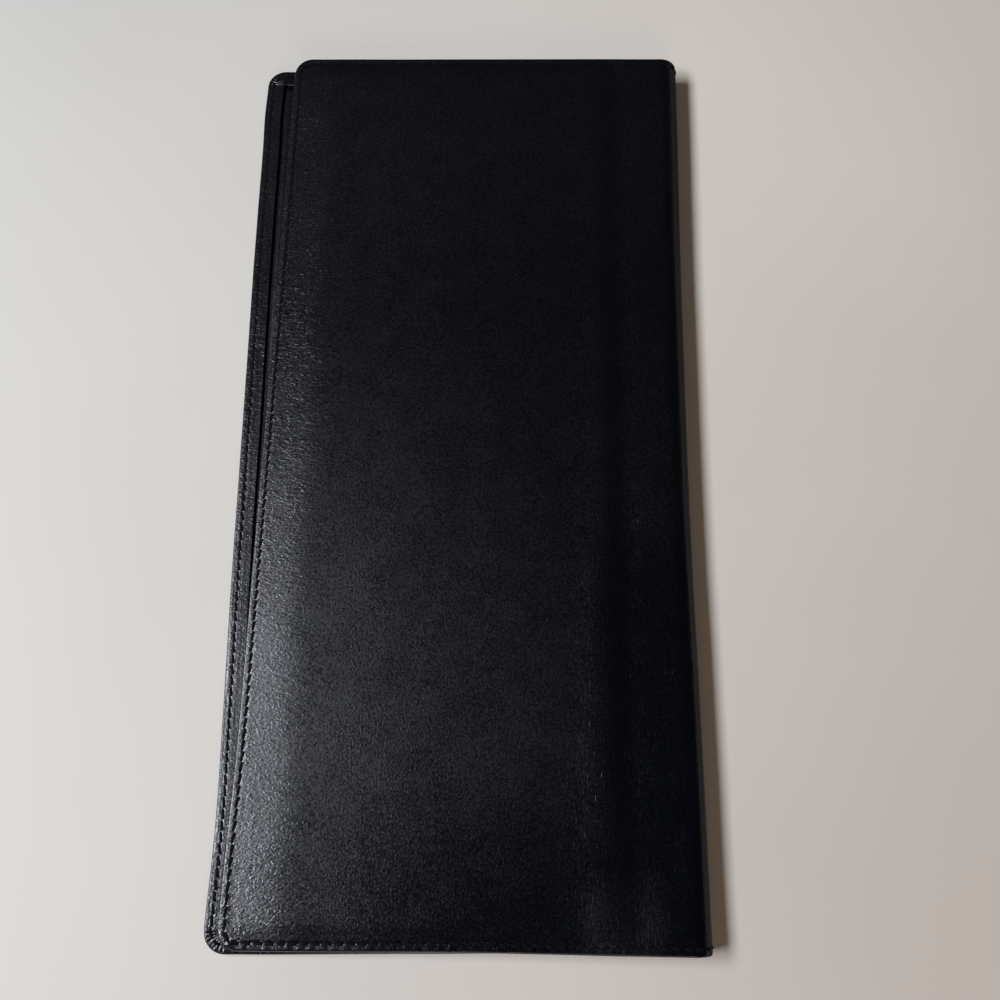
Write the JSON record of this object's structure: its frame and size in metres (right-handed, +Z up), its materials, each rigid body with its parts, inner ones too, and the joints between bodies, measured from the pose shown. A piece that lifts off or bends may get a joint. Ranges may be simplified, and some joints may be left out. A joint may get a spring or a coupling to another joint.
{
  "type": "travel document holder",
  "caption": "Long bifold travel document holder in black leather, closed, with a turned stitched edge, slip pockets, a passport pocket and stepped card slots inside.",
  "frame": {"origin": "middle of the rear cover's outer face, at the middle of the closed width and length", "axes": "+X towards the fold, +Y along the length, +Z up out of the front cover; the wallet lies closed on its rear cover"},
  "size_m": [0.1138, 0.2318, 0.0096],
  "materials": {
    "cover_leather": "satin black fine-grained calf leather",
    "pocket_leather": "satin black fine-grained calf leather",
    "lining_leather": "matt black thin leather",
    "bag_fabric": "fine black woven fabric",
    "stiffener_board": "matt grey-brown bonded board"
  },
  "bodies": {
    "rear_half": {"rear_cover": "cover_leather", "rear_stiffener": "stiffener_board", "rear_lining": "lining_leather", "ticket_pocket": "pocket_leather", "passport_pocket": "pocket_leather", "rear_card_strip_1": "pocket_leather", "rear_card_bag_1": "bag_fabric", "rear_card_strip_2": "pocket_leather", "rear_card_bag_2": "bag_fabric", "rear_card_pocket": "pocket_leather"},
    "spine": {"spine_cover": "cover_leather", "spine_lining": "lining_leather"},
    "front_half": {"front_cover": "cover_leather", "front_stiffener": "stiffener_board", "front_lining": "lining_leather", "document_pocket": "pocket_leather", "lower_card_strip_1": "pocket_leather", "lower_card_bag_1": "bag_fabric", "lower_card_strip_2": "pocket_leather", "lower_card_bag_2": "bag_fabric", "lower_card_pocket": "pocket_leather", "upper_card_strip_1": "pocket_leather", "upper_card_bag_1": "bag_fabric", "upper_card_strip_2": "pocket_leather", "upper_card_bag_2": "bag_fabric", "upper_card_pocket": "pocket_leather"}
  },
  "joints": [
    {"name": "rear_spine_fold", "type": "hinge", "parent": "rear_half", "child": "spine", "pos_m": [0.05503, -0.00003, 0.00144], "axis": [0.0087, 1, 0], "range_deg": [0, 91.22]},
    {"name": "front_spine_fold", "type": "hinge", "parent": "spine", "child": "front_half", "pos_m": [0.05488, -0.00003, 0.0083], "axis": [0.0087, 1, 0], "range_deg": [0, 91.22]}
  ],
  "couplings": [
    {"joint": "front_spine_fold", "follows": "rear_spine_fold", "ratio": 1}
  ]
}
